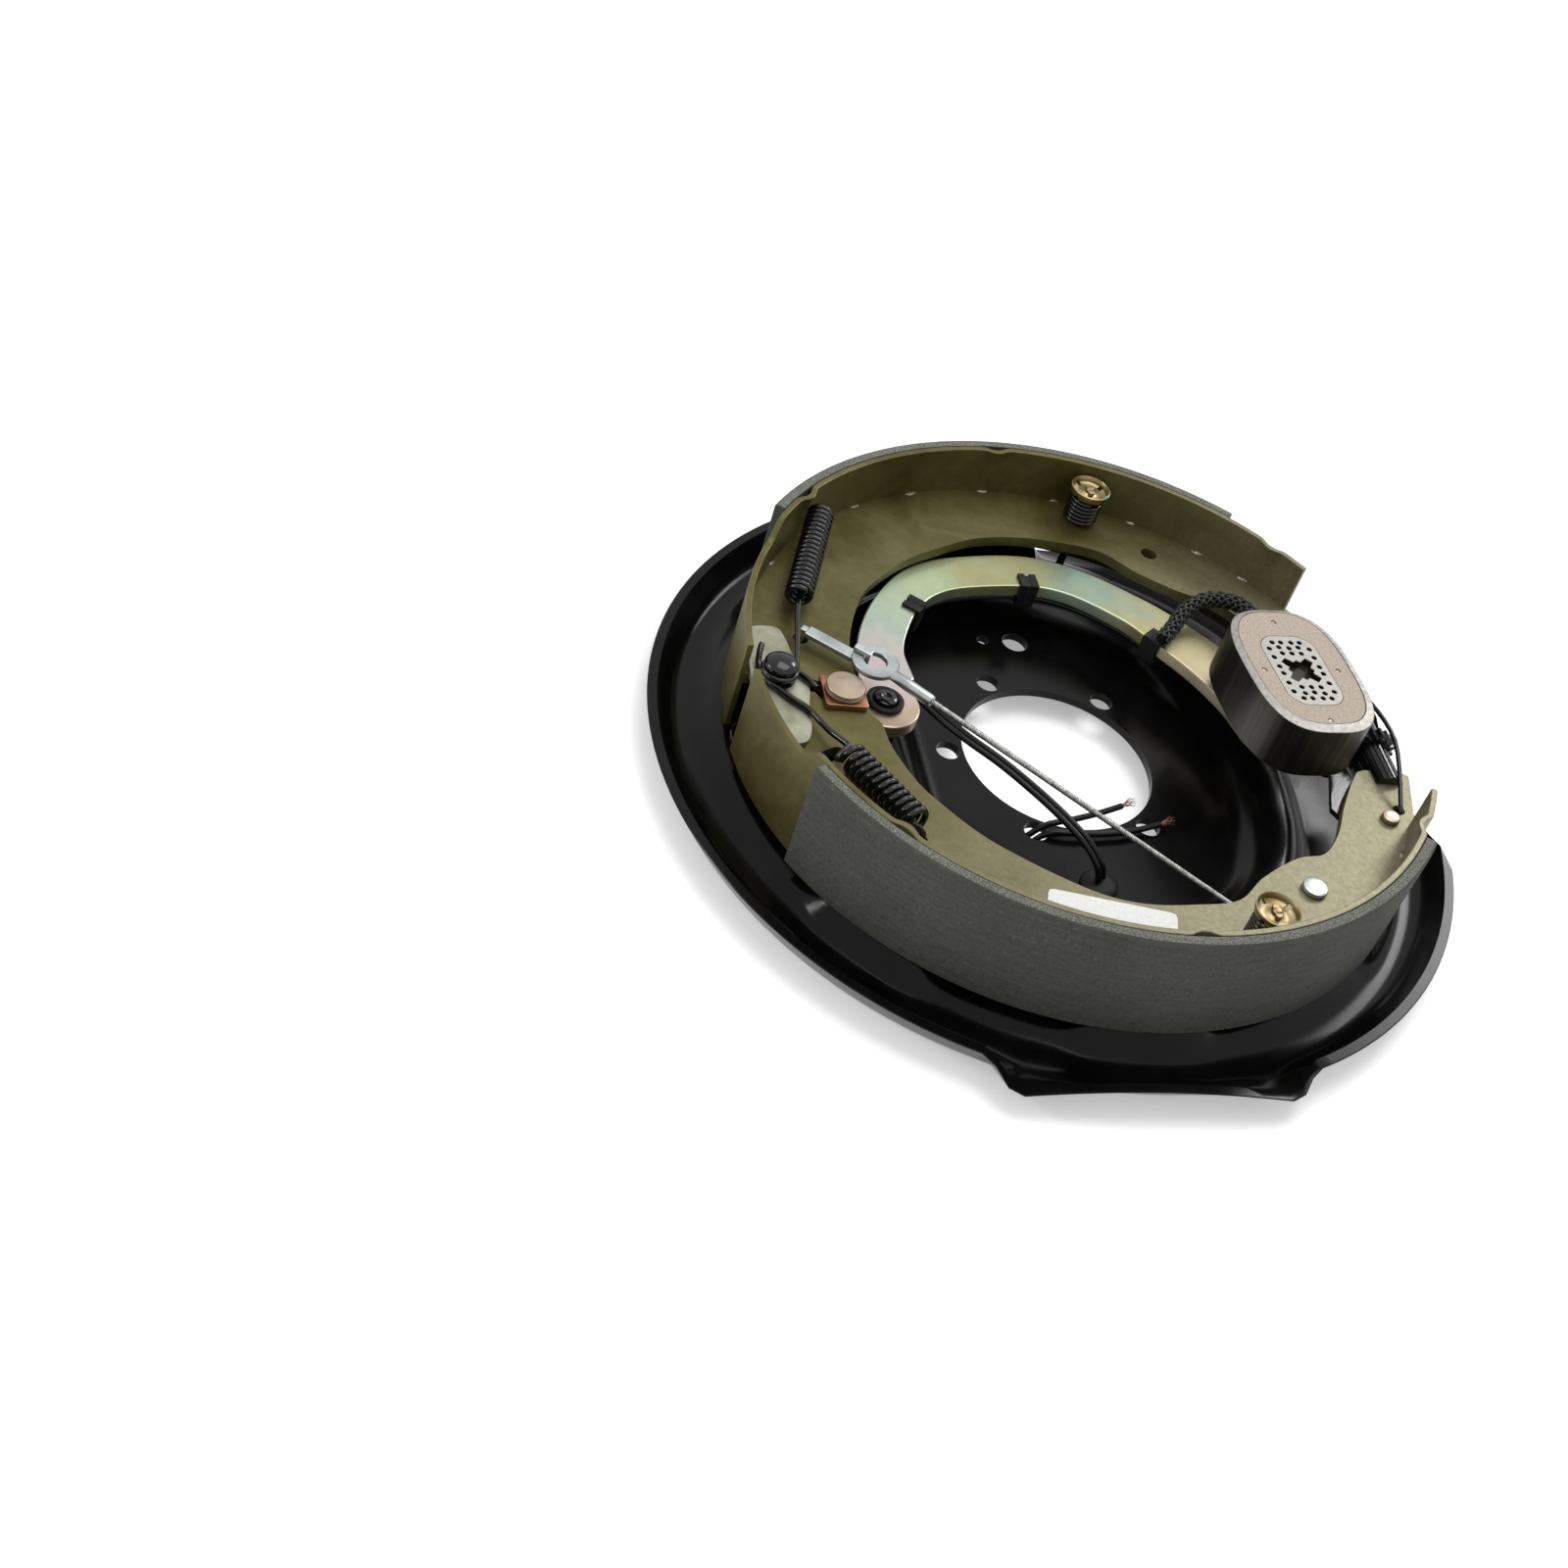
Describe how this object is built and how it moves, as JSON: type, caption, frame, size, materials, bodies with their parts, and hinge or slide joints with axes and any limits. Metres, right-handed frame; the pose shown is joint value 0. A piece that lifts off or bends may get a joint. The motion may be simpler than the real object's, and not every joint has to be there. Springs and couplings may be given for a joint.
{
  "type": "electric trailer brake assembly",
  "caption": "Electric drum brake for a trailer wheel: pressed backing plate, lined shoes, return springs, actuating arm with magnet, and a cable-driven self adjuster.",
  "frame": {"origin": "centre of the bounding box, at the level of the backing plate's lowest ridge, on which the part lies; the wheel axis is parallel to Z at x = 0.01125, y = -0.0045", "axes": "+Z outboard along the wheel axis, +Y towards the anchor post, +X towards the primary shoe"},
  "size_m": [0.3326, 0.345, 0.0712],
  "materials": {
    "black_coat": "gloss black electrocoat",
    "black_steel": "satin black phosphate",
    "pale_zinc": "pale zinc plate",
    "black_rubber": "matt",
    "brass_zinc": "yellow zinc plate",
    "black_spring": "gloss black spring wire",
    "black_insulation": "satin",
    "olive_chromate": "olive chromate",
    "friction_lining": "mottled grey friction material",
    "bright_zinc": "bright zinc plate",
    "steel_cable": "stranded wire rope",
    "rivet_zinc": "pinkish zinc plate",
    "iridescent_chromate": "iridescent yellow chromate",
    "braided_sleeve": "braided",
    "copper_finish": "copper plate",
    "magnet_steel": "brushed dark steel",
    "friction_compound": "tan friction compound",
    "magnet_core_steel": "satin"
  },
  "bodies": {
    "plate": {"backing_plate": "black_coat", "anchor_post": "black_steel", "guide_plate": "pale_zinc", "arm_pivot_pin": "black_steel", "arm_retaining_ring": "black_rubber", "grommet": "black_rubber", "slot_plug_1": "black_rubber", "slot_plug_2": "black_rubber", "hold_down_pin_1": "brass_zinc", "hold_down_spring_1": "black_spring", "hold_down_cup_1": "brass_zinc", "hold_down_pin_2": "brass_zinc", "hold_down_spring_2": "black_spring", "hold_down_cup_2": "brass_zinc", "adjuster_nut": "black_steel", "adjuster_spring": "black_spring", "plate_lead_1": "black_insulation", "plate_lead_2": "black_insulation", "free_lead_1": "black_insulation", "free_lead_2": "black_insulation"},
    "primary": {"primary_shoe": "olive_chromate", "primary_lining": "friction_lining", "primary_return_spring": "black_spring", "cable_link": "bright_zinc", "cable_eye": "bright_zinc"},
    "secondary": {"secondary_shoe": "olive_chromate", "secondary_lining": "friction_lining", "secondary_return_spring": "black_spring", "cable_guide": "black_steel", "adjuster_cable": "steel_cable", "guide_rivet": "bright_zinc", "lever_rivet": "rivet_zinc"},
    "lever": {"adjuster_lever": "black_steel"},
    "arm": {"actuating_arm": "iridescent_chromate", "block_rivet": "rivet_zinc", "magnet_spring": "black_spring", "magnet_sleeve": "braided_sleeve", "arm_lead_1": "black_insulation", "arm_lead_2": "black_insulation", "lead_clip_1": "black_rubber", "lead_clip_2": "black_rubber", "sleeve_clip": "black_rubber"},
    "block": {"actuator_block": "copper_finish"},
    "magnet": {"magnet_body": "magnet_steel", "magnet_friction_face": "friction_compound", "magnet_core": "magnet_core_steel"},
    "socket": {"adjuster_socket": "black_steel"},
    "screw": {"adjuster_screw": "black_steel"}
  },
  "joints": [
    {"name": "arm_swing", "type": "hinge", "parent": "plate", "child": "arm", "pos_m": [0.01125, 0.0795, 0.0342], "axis": [0, 0, -1], "range_deg": [0, 4], "deforming": ["plate_lead_1", "plate_lead_2"]},
    {"name": "block_turn", "type": "hinge", "parent": "arm", "child": "block", "pos_m": [0.00625, 0.1, 0.0405], "axis": [0, 0, -1], "range_deg": [-4.1, 0]},
    {"name": "magnet_slide", "type": "slide", "parent": "arm", "child": "magnet", "axis": [0, 0, 1], "range_m": [-0.0025, 0], "stiffness_N_per_m": 1500, "springref_m": 0.008, "deforming": ["magnet_spring", "magnet_sleeve"]},
    {"name": "primary_spread", "type": "hinge", "parent": "plate", "child": "primary", "pos_m": [0.03825, -0.136, 0.0408], "axis": [0, 0, -1], "range_deg": [0, 0.4], "deforming": ["primary_return_spring"]},
    {"name": "secondary_spread", "type": "hinge", "parent": "plate", "child": "secondary", "pos_m": [0.01125, 0.127, 0.0408], "axis": [0, 0, -1], "range_deg": [0, 0.544], "deforming": ["secondary_return_spring", "adjuster_cable", "adjuster_spring"]},
    {"name": "socket_slide", "type": "slide", "parent": "plate", "child": "socket", "axis": [-1, 0, 0], "range_m": [0, 0.0026]},
    {"name": "star_turn", "type": "hinge", "parent": "socket", "child": "screw", "pos_m": [-0.00275, -0.136, 0.0408], "axis": [1, 0, 0], "range_deg": [0, 720]},
    {"name": "lever_swing", "type": "hinge", "parent": "secondary", "child": "lever", "pos_m": [-0.04475, -0.1279, 0.03675], "axis": [0, 0, 1], "range_deg": [0, 12]}
  ],
  "couplings": [
    {"joint": "block_turn", "follows": "arm_swing", "ratio": -1},
    {"joint": "primary_spread", "follows": "arm_swing", "ratio": 0.089},
    {"joint": "socket_slide", "follows": "secondary_spread", "m_per_rad": 0.263},
    {"joint": "star_turn", "follows": "secondary_spread", "ratio": 1322}
  ]
}
